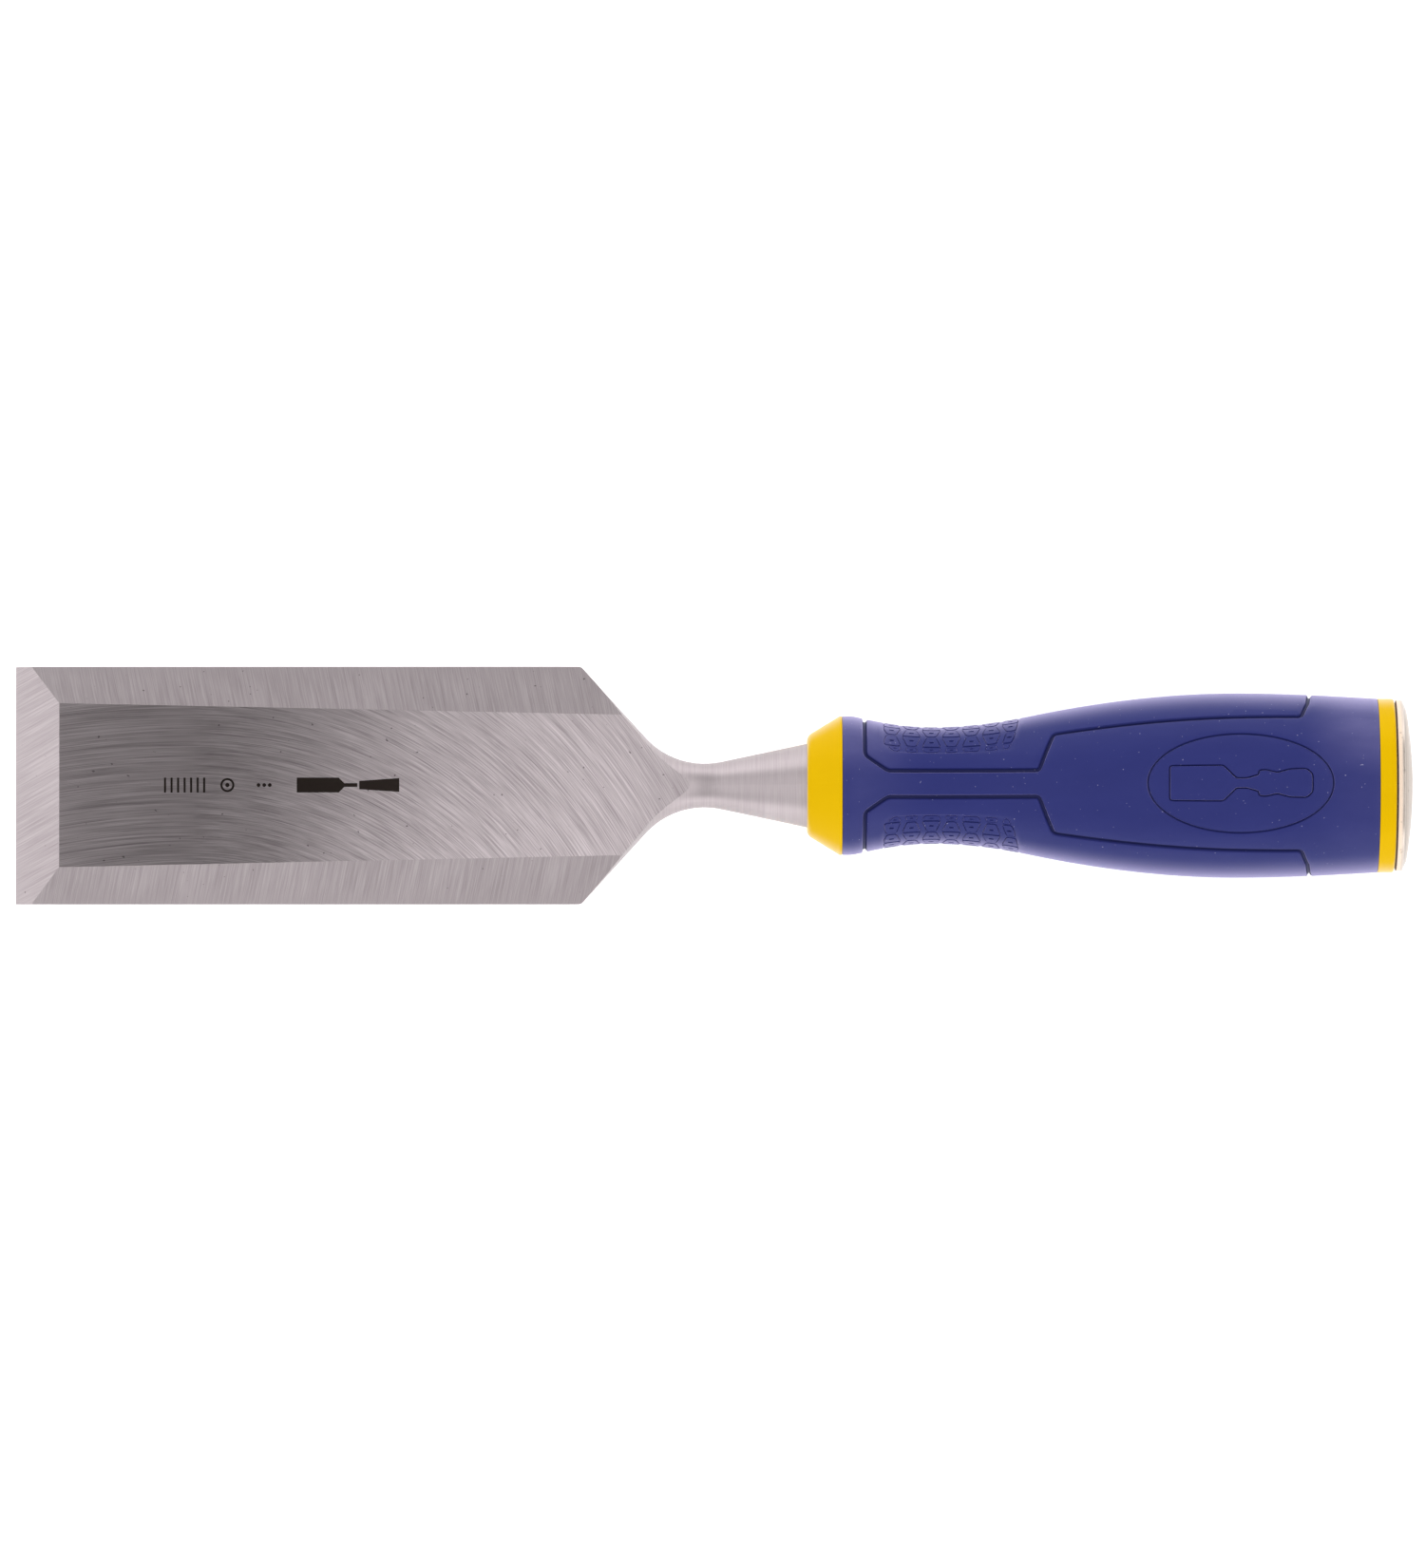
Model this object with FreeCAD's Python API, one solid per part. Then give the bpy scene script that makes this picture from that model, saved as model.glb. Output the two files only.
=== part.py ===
import FreeCAD, Part
import math
import os

# A 51 mm bevel-edge bench chisel, in four pieces:
#   blade        one steel forging: blade, neck, bolster and notched tang
#   handle_core  hard plastic moulded round the tang, seen as the collar and the rear band
#   grip_sleeve  soft rubber moulded over the core
#   strike_cap   steel cap whose barbed stud is pressed into the rear of the core
#
# Millimetres.  X runs from the cutting edge to the cap, +Z out of the bevelled face.
# The origin is the middle of the cutting edge, on the flat back (the plane z = 0).

Vec = FreeCAD.Vector

# ---- driving dimensions --------------------------------------------------------------------

# whole tool
OVERALL_LENGTH = 300.0
AXIS_Z = 1.33               # height of the handle's axis above the flat back

# blade
BLADE_WIDTH = 51.0
BLADE_LENGTH = 121.5        # cutting edge to shoulder corners
EDGE_ANGLE = 25.0           # grind of the cutting bevel
EDGE_BEVEL_LENGTH = 9.5
SHOULDER_THICKNESS = 6.0
SIDE_BEVEL_FRONT = 7.9      # width of a side bevel where it meets the cutting bevel
SIDE_BEVEL_REAR = 10.24     # and at the shoulder
SIDE_LAND_FRONT = 1.65      # height of the square side left under the bevel
SHOULDER_CORNER = 1.5

# neck and bolster, turned about the handle's axis
SHOULDER_CONE_ANGLE = 47.7  # shoulder cone, from the axis
NECK_RADIUS = 4.7           # at the thinnest place
NECK_CURVE = 17.0           # hollow that blends the shoulder cone into the bolster
BOLSTER_CONE_ANGLE = 12.0
BACK_GRIND_END = 143.0      # the flat back stops here and leaves on the wheel's radius
BACK_WHEEL_RADIUS = 15.0

# tang
COLLAR_FRONT = 170.0        # front face of the handle
BOLSTER_SEAT = 4.0          # depth of the bolster inside the handle
TANG_LENGTH = 78.0
TANG_FRONT = 8.0            # square section behind the bolster
TANG_REAR = 5.0             # and where the point starts
TANG_TIP = 1.2
TANG_POINT = 6.0            # length of the point
NOTCH_COUNT = 4
NOTCH_PITCH = 14.0
NOTCH_DEPTH = 1.0

# handle core
COLLAR_RADIUS = 14.9
COLLAR_CONE_ANGLE = 31.4
COLLAR_CONE_END = 177.0
COLLAR_EDGE_RADIUS = 2.0
GRIP_FRONT = 177.5
GRIP_REAR = 292.5
BAND_REAR = 296.0
BAND_EDGE_RADIUS = 0.6
KEY_COUNT = 4               # lengthways keys that stop the grip from turning
KEY_WIDTH = 5.0
KEY_DEPTH = 2.0
KEY_FRONT = 226.0
KEY_REAR = 278.0

# grip: stations along the outline as (x, half-width, slope)
GRIP_STATIONS = (
    (GRIP_FRONT, COLLAR_RADIUS, 0.0),
    (179.0, COLLAR_RADIUS, 0.0),
    (181.5, 14.5, -0.24),
    (197.0, 12.5, 0.0),     # waist, for thumb and forefinger
    (217.5, 14.8, 0.21),
    (262.0, 19.8, 0.0),     # belly, for the palm
    (GRIP_REAR, 18.65, -0.06),
)
BELLY_FLATTENING = 0.08     # the belly is this much less deep than it is wide
FLATTENING_FRONT = 205.0    # the section is round in front of this place
FLATTENING_PEAK = 252.0
GRIP_SECTIONS = 24          # sections that the skin is drawn through, from the waist back

# core under the grip: stations as (x, radius, slope)
CORE_STATIONS = (
    (184.0, 10.2, 0.0),
    (203.0, 9.8, 0.0),
    (250.0, 16.2, 0.04),
    (285.0, 16.4, 0.0),
)
LOCK_WIDTH = 2.0            # a ring in front and a groove behind lock the grip's ends
LOCK_RING_X = 181.0
LOCK_RING_RADIUS = 12.6
LOCK_GROOVE_X = 288.5
LOCK_GROOVE_RADIUS = 14.6

# strike cap
CAP_GAP = 0.4               # relief between rear band and cap
CAP_GAP_RADIUS = 17.6
CAP_RADIUS = 18.35
CAP_RIM_END = 297.7
CAP_CHAMFER_END = 298.6
CAP_CHAMFER_RADIUS = 16.4
STUD_RADIUS = 6.0
STUD_LENGTH = 20.0
BARB_COUNT = 3
BARB_PITCH = 5.0
BARB_RAMP = 4.0
BARB_HEIGHT = 0.8

# ---- places that follow from the driving dimensions ----------------------------------------

HALF_WIDTH = BLADE_WIDTH / 2
CONE = math.radians(SHOULDER_CONE_ANGLE)
HOLLOW_CENTRE = NECK_RADIUS + NECK_CURVE
HOLLOW_FRONT_RADIUS = HOLLOW_CENTRE - NECK_CURVE * math.cos(CONE)
HOLLOW_FRONT = BLADE_LENGTH + (HALF_WIDTH - HOLLOW_FRONT_RADIUS) / math.tan(CONE)
NECK_X = HOLLOW_FRONT + NECK_CURVE * math.sin(CONE)
HEEL_THICKNESS = EDGE_BEVEL_LENGTH * math.tan(math.radians(EDGE_ANGLE))
FACE_SLOPE = (SHOULDER_THICKNESS - HEEL_THICKNESS) / (BLADE_LENGTH - EDGE_BEVEL_LENGTH)
TANG_START = COLLAR_FRONT + BOLSTER_SEAT
TANG_END = TANG_START + TANG_LENGTH
TANG_POINT_START = TANG_END - TANG_POINT
CAP_FRONT = BAND_REAR
CUTTER = 60.0               # size of a cutting block, larger than any section it works on


# ---- shared helpers ------------------------------------------------------------------------

def face_height(x):
    """Height of the blade's upper face above the back."""
    return HEEL_THICKNESS + FACE_SLOPE * (x - EDGE_BEVEL_LENGTH)


def at(x, radius):
    """A point of a turned profile, at this radius above the handle's axis."""
    return Vec(x, 0, AXIS_Z + radius)


def line(start, end):
    return Part.LineSegment(start, end).toShape()


def arc(start, middle, end):
    return Part.Arc(start, middle, end).toShape()


def chain(points):
    """Straight edges through turned-profile points given as (x, radius)."""
    return [line(at(*a), at(*b)) for a, b in zip(points, points[1:])]


def hermite(first, second):
    """The cubic from one (x, radius, slope) station to the next, as a Bezier edge."""
    x0, r0, slope0 = first
    x1, r1, slope1 = second
    third = (x1 - x0) / 3
    curve = Part.BezierCurve()
    curve.setPoles([
        at(x0, r0),
        at(x0 + third, r0 + slope0 * third),
        at(x1 - third, r1 - slope1 * third),
        at(x1, r1),
    ])
    return curve.toShape()


def radius_at(stations, x):
    """Radius of a chain of hermite cubics at x."""
    for (x0, r0, slope0), (x1, r1, slope1) in zip(stations, stations[1:]):
        if x <= x1:
            break
    length = x1 - x0
    t = (x - x0) / length
    rise = (3 - 2 * t) * t * t
    lean = slope0 * t * (1 - t) ** 2 - slope1 * t * t * (1 - t)
    return r0 + (r1 - r0) * rise + length * lean


def turned(edges):
    """Solid of revolution of a closed profile about the handle's axis."""
    face = Part.Face(Part.Wire(Part.__sortEdges__(edges)))
    return face.revolve(Vec(0, 0, AXIS_Z), Vec(1, 0, 0), 360)


def mirrored(shape):
    """The shape's twin on the other side of the blade."""
    return shape.mirror(Vec(0, 0, 0), Vec(0, 1, 0))


def prism(outline, direction):
    """Solid made by sweeping a closed polygon along a direction."""
    return Part.Face(Part.makePolygon(outline + outline[:1])).extrude(direction)


# ---- blade ---------------------------------------------------------------------------------

def shoulder_and_bolster():
    """Turned forging behind the blade: shoulder cone, hollow neck, bolster and its seat."""
    bolster = math.radians(BOLSTER_CONE_ANGLE)
    root = (BLADE_LENGTH - 1.0, HALF_WIDTH + math.tan(CONE))
    hollow_front = (HOLLOW_FRONT, HOLLOW_FRONT_RADIUS)
    hollow_rear = (NECK_X + NECK_CURVE * math.sin(bolster),
                   HOLLOW_CENTRE - NECK_CURVE * math.cos(bolster))
    seat_radius = hollow_rear[1] + (COLLAR_FRONT - hollow_rear[0]) * math.tan(bolster)
    shoulder = chain([(root[0], 0), root, hollow_front])
    hollow = arc(at(*hollow_front), at(NECK_X, NECK_RADIUS), at(*hollow_rear))
    rear = chain([
        hollow_rear,
        (COLLAR_FRONT, seat_radius),
        (TANG_START, seat_radius),
        (TANG_START, 0),
        (root[0], 0),
    ])
    return turned(shoulder + [hollow] + rear)


def square_taper(x0, side0, x1, side1):
    """Square pyramid frustum along the handle's axis."""
    sections = []
    for x, side in ((x0, side0), (x1, side1)):
        half = side / 2
        corners = [Vec(x, y * half, AXIS_Z + z * half) for y, z in ((-1, -1), (1, -1), (1, 1), (-1, 1))]
        sections.append(Part.makePolygon(corners + corners[:1]))
    return Part.makeLoft(sections, True, True)


def tang():
    """Square tapered tang with a blunt point and notches down both sides."""
    shank = square_taper(TANG_START, TANG_FRONT, TANG_POINT_START, TANG_REAR)
    point = square_taper(TANG_POINT_START, TANG_REAR, TANG_END, TANG_TIP)
    solid = shank.fuse(point)
    taper = (TANG_FRONT - TANG_REAR) / (TANG_POINT_START - TANG_START)
    for index in range(NOTCH_COUNT):
        x = TANG_START + NOTCH_PITCH * (index + 1)
        side = (TANG_FRONT - taper * (x - TANG_START)) / 2
        notch = prism([
            Vec(x, side - NOTCH_DEPTH, AXIS_Z - TANG_FRONT),
            Vec(x + 2 * NOTCH_DEPTH, side + NOTCH_DEPTH, AXIS_Z - TANG_FRONT),
            Vec(x, side + NOTCH_DEPTH, AXIS_Z - TANG_FRONT),
        ], Vec(0, 0, 2 * TANG_FRONT))
        solid = solid.cut(notch).cut(mirrored(notch))
    return solid


def back_cutter():
    """Everything under the flat back, as far as the place where the wheel leaves the neck."""
    slab = Part.makeBox(BACK_GRIND_END + CUTTER, 2 * CUTTER, CUTTER, Vec(-CUTTER, -CUTTER, -CUTTER))
    wheel = Part.makeCylinder(BACK_WHEEL_RADIUS, 2 * CUTTER,
                              Vec(BACK_GRIND_END, -CUTTER, -BACK_WHEEL_RADIUS), Vec(0, 1, 0))
    return slab.fuse(wheel)


def face_cutter():
    """Everything above the upper face, up to the thinnest place of the neck."""
    return prism([
        Vec(-CUTTER, -CUTTER, face_height(-CUTTER)),
        Vec(NECK_X, -CUTTER, face_height(NECK_X)),
        Vec(NECK_X, -CUTTER, CUTTER),
        Vec(-CUTTER, -CUTTER, CUTTER),
    ], Vec(0, 2 * CUTTER, 0))


def side_bevel_cutter():
    """Half-space block above the side bevel on +Y, set by three points of the bevel."""
    inner_front = Vec(EDGE_BEVEL_LENGTH, HALF_WIDTH - SIDE_BEVEL_FRONT, HEEL_THICKNESS)
    inner_rear = Vec(BLADE_LENGTH, HALF_WIDTH - SIDE_BEVEL_REAR, SHOULDER_THICKNESS)
    outer_front = Vec(EDGE_BEVEL_LENGTH, HALF_WIDTH, SIDE_LAND_FRONT)
    along = (inner_rear - inner_front).normalize()
    normal = along.cross(outer_front - inner_front).normalize()
    if normal.z < 0:
        normal = -normal
    across = normal.cross(along).normalize()
    front = inner_front - along * CUTTER
    rear = inner_front + along * (BLADE_LENGTH + CUTTER)
    return prism([
        front + across * CUTTER,
        front - across * CUTTER,
        rear - across * CUTTER,
        rear + across * CUTTER,
    ], normal * CUTTER)


def edge_cutter():
    """Everything above the cutting bevel."""
    reach = 3 * EDGE_BEVEL_LENGTH
    rise = math.tan(math.radians(EDGE_ANGLE))
    return prism([
        Vec(-1, -CUTTER, -rise),
        Vec(reach, -CUTTER, reach * rise),
        Vec(-1, -CUTTER, reach * rise),
    ], Vec(0, 2 * CUTTER, 0))


def shoulder_corner_cutter():
    """Rounds the upright corner between the side and the shoulder cone on +Y."""
    reach = SHOULDER_CORNER * math.tan(CONE / 2)
    start = Vec(BLADE_LENGTH - reach, HALF_WIDTH, -1)
    end = Vec(BLADE_LENGTH + reach * math.cos(CONE), HALF_WIDTH - reach * math.sin(CONE), -1)
    middle = start + Vec(math.sin(CONE / 2), math.cos(CONE / 2) - 1, 0) * SHOULDER_CORNER
    outside = SHOULDER_CORNER
    outline = Part.Wire([
        line(start, start + Vec(0, outside, 0)),
        line(start + Vec(0, outside, 0), end + Vec(outside, outside, 0)),
        line(end + Vec(outside, outside, 0), end),
        arc(end, middle, start),
    ])
    return Part.Face(outline).extrude(Vec(0, 0, 2 * SHOULDER_THICKNESS))


def blade():
    bar = Part.makeBox(BLADE_LENGTH, BLADE_WIDTH, 2 * SHOULDER_THICKNESS, Vec(0, -HALF_WIDTH, -1))
    walls = Part.makeBox(TANG_END + CUTTER, BLADE_WIDTH, 2 * CUTTER, Vec(-CUTTER, -HALF_WIDTH, -CUTTER))
    solid = bar.fuse(shoulder_and_bolster()).common(walls)
    bevel = side_bevel_cutter()
    for cutter in (back_cutter(), face_cutter(), bevel, mirrored(bevel), edge_cutter()):
        solid = solid.cut(cutter)
    corner = shoulder_corner_cutter()
    solid = solid.cut(corner).cut(mirrored(corner))
    return solid.fuse(tang()).removeSplitter()


# ---- handle core ---------------------------------------------------------------------------

def core_profile():
    """Closed outline of the core: nose, collar, barrel under the grip, rear band, axis."""
    cone = math.radians(COLLAR_CONE_ANGLE)
    nose_radius = COLLAR_RADIUS - (COLLAR_CONE_END - COLLAR_FRONT) * math.tan(cone)
    turn = math.pi / 2 - cone
    reach = COLLAR_EDGE_RADIUS * math.tan(turn / 2)
    nose_start = (COLLAR_FRONT, nose_radius - reach)
    nose_middle = (COLLAR_FRONT + COLLAR_EDGE_RADIUS * (1 - math.cos(turn / 2)),
                   nose_start[1] + COLLAR_EDGE_RADIUS * math.sin(turn / 2))
    nose_end = (COLLAR_FRONT + reach * math.cos(cone), nose_radius + reach * math.sin(cone))
    half_lock = LOCK_WIDTH / 2
    front_radius = CORE_STATIONS[0][1]
    rear_radius = CORE_STATIONS[-1][1]
    band_radius = GRIP_STATIONS[-1][1]
    band_corner = (BAND_REAR - BAND_EDGE_RADIUS, band_radius)
    rear_corner = (BAND_REAR, band_radius - BAND_EDGE_RADIUS)
    diagonal = BAND_EDGE_RADIUS * math.sqrt(0.5)
    corner_middle = (band_corner[0] + diagonal, rear_corner[1] + diagonal)

    nose = chain([(COLLAR_FRONT, 0), nose_start])
    nose.append(arc(at(*nose_start), at(*nose_middle), at(*nose_end)))
    collar = chain([
        nose_end,
        (COLLAR_CONE_END, COLLAR_RADIUS),
        (GRIP_FRONT, COLLAR_RADIUS),
        (GRIP_FRONT, front_radius),
        (LOCK_RING_X - half_lock, front_radius),
        (LOCK_RING_X - half_lock, LOCK_RING_RADIUS),
        (LOCK_RING_X + half_lock, LOCK_RING_RADIUS),
        (LOCK_RING_X + half_lock, front_radius),
        CORE_STATIONS[0][:2],
    ])
    barrel = [hermite(a, b) for a, b in zip(CORE_STATIONS, CORE_STATIONS[1:])]
    band = chain([
        CORE_STATIONS[-1][:2],
        (LOCK_GROOVE_X - half_lock, rear_radius),
        (LOCK_GROOVE_X - half_lock, LOCK_GROOVE_RADIUS),
        (LOCK_GROOVE_X + half_lock, LOCK_GROOVE_RADIUS),
        (LOCK_GROOVE_X + half_lock, rear_radius),
        (GRIP_REAR, rear_radius),
        (GRIP_REAR, band_radius),
        band_corner,
    ])
    band.append(arc(at(*band_corner), at(*corner_middle), at(*rear_corner)))
    rear = chain([rear_corner, (BAND_REAR, 0), (COLLAR_FRONT, 0)])
    return nose + collar + barrel + band + rear


def keyways():
    """Lengthways slots cut into the barrel, their floors following its taper."""
    front_floor = radius_at(CORE_STATIONS, KEY_FRONT) - KEY_DEPTH
    rear_floor = radius_at(CORE_STATIONS, KEY_REAR) - KEY_DEPTH
    slots = []
    for index in range(KEY_COUNT):
        slot = prism([
            Vec(KEY_FRONT, -KEY_WIDTH / 2, AXIS_Z + front_floor),
            Vec(KEY_REAR, -KEY_WIDTH / 2, AXIS_Z + rear_floor),
            Vec(KEY_REAR, -KEY_WIDTH / 2, AXIS_Z + CUTTER),
            Vec(KEY_FRONT, -KEY_WIDTH / 2, AXIS_Z + CUTTER),
        ], Vec(0, KEY_WIDTH, 0))
        slot.rotate(Vec(0, 0, AXIS_Z), Vec(1, 0, 0), 360.0 * (index + 0.5) / KEY_COUNT)
        slots.append(slot)
    return slots


def core_outside():
    """The core as a full solid, before the tang and the stud are taken out of it."""
    solid = turned(core_profile())
    for slot in keyways():
        solid = solid.cut(slot)
    return solid


# ---- grip sleeve ---------------------------------------------------------------------------

def flattening(x):
    """Share by which the grip is less deep than wide: none at the waist and at the rear."""
    if x <= FLATTENING_FRONT:
        return 0.0
    if x <= FLATTENING_PEAK:
        t = (x - FLATTENING_FRONT) / (FLATTENING_PEAK - FLATTENING_FRONT)
    else:
        t = (GRIP_REAR - x) / (GRIP_REAR - FLATTENING_PEAK)
    return BELLY_FLATTENING * (3 - 2 * t) * t * t


def grip_section(x):
    """Ellipse of the grip's outside at x."""
    width = radius_at(GRIP_STATIONS, x)
    circle = Part.Circle(Vec(0, 0, 0), Vec(1, 0, 0), 1.0).toBSpline().toShape()
    place = FreeCAD.Matrix()
    place.scale(1.0, width, width * (1 - flattening(x)))
    place.move(Vec(x, 0, AXIS_Z))
    return Part.Wire(circle.transformGeometry(place))


def grip_outside():
    """Round front ring, then one smooth skin from waist to belly to tail."""
    waist_x, waist_radius = GRIP_STATIONS[3][:2]
    ring = [hermite(a, b) for a, b in zip(GRIP_STATIONS[:3], GRIP_STATIONS[1:4])]
    ring += chain([
        (waist_x, waist_radius),
        (waist_x, 0),
        (GRIP_FRONT, 0),
        (GRIP_FRONT, COLLAR_RADIUS),
    ])
    step = (GRIP_REAR - waist_x) / GRIP_SECTIONS
    sections = [grip_section(waist_x + step * index) for index in range(GRIP_SECTIONS + 1)]
    return turned(ring).fuse(Part.makeLoft(sections, True, False))


# ---- strike cap ----------------------------------------------------------------------------

def barbed_stud():
    """Outline of the stud from its flat end to the cap, each barb a ramp and a step."""
    end = CAP_FRONT - STUD_LENGTH
    outline = [(end, 0)]
    for index in range(BARB_COUNT):
        start = end + BARB_PITCH * index
        outline += [
            (start, STUD_RADIUS),
            (start + BARB_RAMP, STUD_RADIUS + BARB_HEIGHT),
            (start + BARB_RAMP, STUD_RADIUS),
        ]
    return outline + [(CAP_FRONT, STUD_RADIUS)]


def strike_cap():
    """Domed cap with a relief under its rim, and its stud."""
    rise = OVERALL_LENGTH - CAP_CHAMFER_END
    dome_radius = (CAP_CHAMFER_RADIUS ** 2 + rise ** 2) / (2 * rise)
    half_chord = CAP_CHAMFER_RADIUS / 2
    dome_middle = OVERALL_LENGTH - dome_radius + math.sqrt(dome_radius ** 2 - half_chord ** 2)
    dome_edge = (CAP_CHAMFER_END, CAP_CHAMFER_RADIUS)
    outline = [(OVERALL_LENGTH, 0)] + barbed_stud() + [
        (CAP_FRONT, CAP_GAP_RADIUS),
        (CAP_FRONT + CAP_GAP, CAP_GAP_RADIUS),
        (CAP_FRONT + CAP_GAP, CAP_RADIUS),
        (CAP_RIM_END, CAP_RADIUS),
        dome_edge,
    ]
    dome = arc(at(*dome_edge), at(dome_middle, half_chord), at(OVERALL_LENGTH, 0))
    return turned(chain(outline) + [dome])


# ---- assembly ------------------------------------------------------------------------------

def build():
    """Each softer piece is moulded round the harder one, so it is cut by it."""
    steel = blade()
    cap = strike_cap()
    outside = core_outside()
    return {
        "blade": steel,
        "handle_core": outside.cut(steel).cut(cap),
        "grip_sleeve": grip_outside().cut(outside),
        "strike_cap": cap,
    }


os.makedirs("parts", exist_ok=True)
for name, shape in build().items():
    solids = shape.Solids
    if len(solids) != 1 or not solids[0].isValid():
        raise SystemExit("%s: %d solids, valid %s" % (name, len(solids), shape.isValid()))
    solids[0].exportStep("parts/%s.step" % name)
    box = solids[0].BoundBox
    print("%-12s %9.1f mm3  x %.2f..%.2f  y %.2f..%.2f  z %.2f..%.2f" % (
        name, solids[0].Volume, box.XMin, box.XMax, box.YMin, box.YMax, box.ZMin, box.ZMax))
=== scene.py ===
import math

import bmesh
import bpy
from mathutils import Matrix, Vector
from mathutils.geometry import area_tri, delaunay_2d_cdt
from mathutils.kdtree import KDTree


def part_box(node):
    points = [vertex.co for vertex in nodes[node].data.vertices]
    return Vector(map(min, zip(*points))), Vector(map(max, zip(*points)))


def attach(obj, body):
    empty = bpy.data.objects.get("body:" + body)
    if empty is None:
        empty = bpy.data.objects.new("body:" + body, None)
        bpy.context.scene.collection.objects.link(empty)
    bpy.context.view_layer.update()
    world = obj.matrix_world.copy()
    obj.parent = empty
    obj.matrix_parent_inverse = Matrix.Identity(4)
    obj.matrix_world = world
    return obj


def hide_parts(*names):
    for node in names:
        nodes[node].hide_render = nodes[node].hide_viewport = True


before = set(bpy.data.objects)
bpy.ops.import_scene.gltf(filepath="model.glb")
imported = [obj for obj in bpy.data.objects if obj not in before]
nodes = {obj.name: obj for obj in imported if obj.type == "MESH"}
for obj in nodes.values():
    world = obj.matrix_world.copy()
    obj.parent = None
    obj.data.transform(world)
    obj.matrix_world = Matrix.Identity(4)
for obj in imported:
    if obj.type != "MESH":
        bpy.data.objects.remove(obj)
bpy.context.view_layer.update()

# Looks of a 51 mm bench chisel.  The ground blade, the yellow handle core and the steel cap are
# the CAD nodes with materials on them.  The blue grip is a new mesh: it has the moulded panel
# grooves, the pad pattern at the waist and the oval badge, which the CAD solid leaves out.
#
# Shapes are worked out in millimetres in the row frame, and turned into metres at the end.

MM = 0.001

# ---- places from the frame -----------------------------------------------------------------

CORE_LOW, CORE_HIGH = (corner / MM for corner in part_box("handle_core"))
GRIP_LOW, GRIP_HIGH = (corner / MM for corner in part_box("grip_sleeve"))

AXIS_Z = (CORE_LOW.z + CORE_HIGH.z) / 2
CORE_REAR = CORE_HIGH.x
GRIP_FRONT = GRIP_LOW.x
GRIP_REAR = GRIP_HIGH.x
GRIP_LENGTH = GRIP_REAR - GRIP_FRONT
BELLY_RADIUS = GRIP_HIGH.y
TOOL_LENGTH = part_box("strike_cap")[1].x / MM


# ---- outline of the grip -------------------------------------------------------------------

# stations as (distance behind the grip's front, half-width, slope), joined by cubics
OUTLINE = (
    (0.0, 14.9, 0.0),
    (1.5, 14.9, 0.0),
    (4.0, 14.5, -0.24),
    (19.5, 12.5, 0.0),
    (40.0, 14.8, 0.21),
    (84.5, BELLY_RADIUS, 0.0),
    (GRIP_LENGTH, 18.65, -0.06),
)
FLATTENING = 0.08           # the belly is this much less deep than it is wide
FLATTENING_FRONT = 27.5     # behind the grip's front; the section is round up to here
FLATTENING_PEAK = 74.5
SLOPE_STEP = 0.05           # the skin's slope is measured over this distance each way


def radius_along(stations, back):
    """Radius of a row of stations at a distance behind the grip's front."""
    back = min(max(back, stations[0][0]), stations[-1][0])
    for (x0, r0, slope0), (x1, r1, slope1) in zip(stations, stations[1:]):
        if back <= x1:
            break
    length = x1 - x0
    t = (back - x0) / length
    rise = (3 - 2 * t) * t * t
    lean = slope0 * t * (1 - t) ** 2 - slope1 * t * t * (1 - t)
    return r0 + (r1 - r0) * rise + length * lean


def half_width(x):
    """Half the grip's width at x."""
    return radius_along(OUTLINE, x - GRIP_FRONT)


def half_depth(x):
    """Half the grip's depth at x."""
    back = x - GRIP_FRONT
    if back <= FLATTENING_PEAK:
        t = (back - FLATTENING_FRONT) / (FLATTENING_PEAK - FLATTENING_FRONT)
    else:
        t = (GRIP_LENGTH - back) / (GRIP_LENGTH - FLATTENING_PEAK)
    t = min(max(t, 0.0), 1.0)
    return half_width(x) * (1 - FLATTENING * (3 - 2 * t) * t * t)


def skin_point(x, theta, lift):
    """Point of the grip, theta round from the top centre line, lifted off the smooth skin."""
    width = half_width(x)
    depth = half_depth(x)
    widening = (half_width(x + SLOPE_STEP) - half_width(x - SLOPE_STEP)) / (2 * SLOPE_STEP)
    deepening = (half_depth(x + SLOPE_STEP) - half_depth(x - SLOPE_STEP)) / (2 * SLOPE_STEP)
    across = math.sin(theta)
    up = math.cos(theta)
    normal = Vector((
        -(across * across * widening / width + up * up * deepening / depth),
        across / width,
        up / depth,
    )).normalized()
    return (Vector((x, width * across, AXIS_Z + depth * up)) + normal * lift) * MM


# ---- flat drawing of the skin --------------------------------------------------------------

# The left half of the skin is drawn flat, as points at (x, theta) with a lift and lines between
# them, and cut into triangles along those lines.  Its mirror image makes the right half.
SPREAD = 15.0               # width of the drawing for each radian of theta
CLEARANCE = 0.62            # plain points keep this far from drawn ones
LINE_STEP = 1.0             # longest stretch of a drawn line between two of its points
STRAIGHT_ENOUGH = math.radians(12)      # a corner that turns less than this isn't rounded
LONGEST_ROUNDING = 0.45     # a rounding uses at most this share of the lines beside it
SAME_PLACE = 1e-6           # drawn points nearer than this are one point
NO_AREA = 1e-7              # triangles smaller than this are dropped


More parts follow.
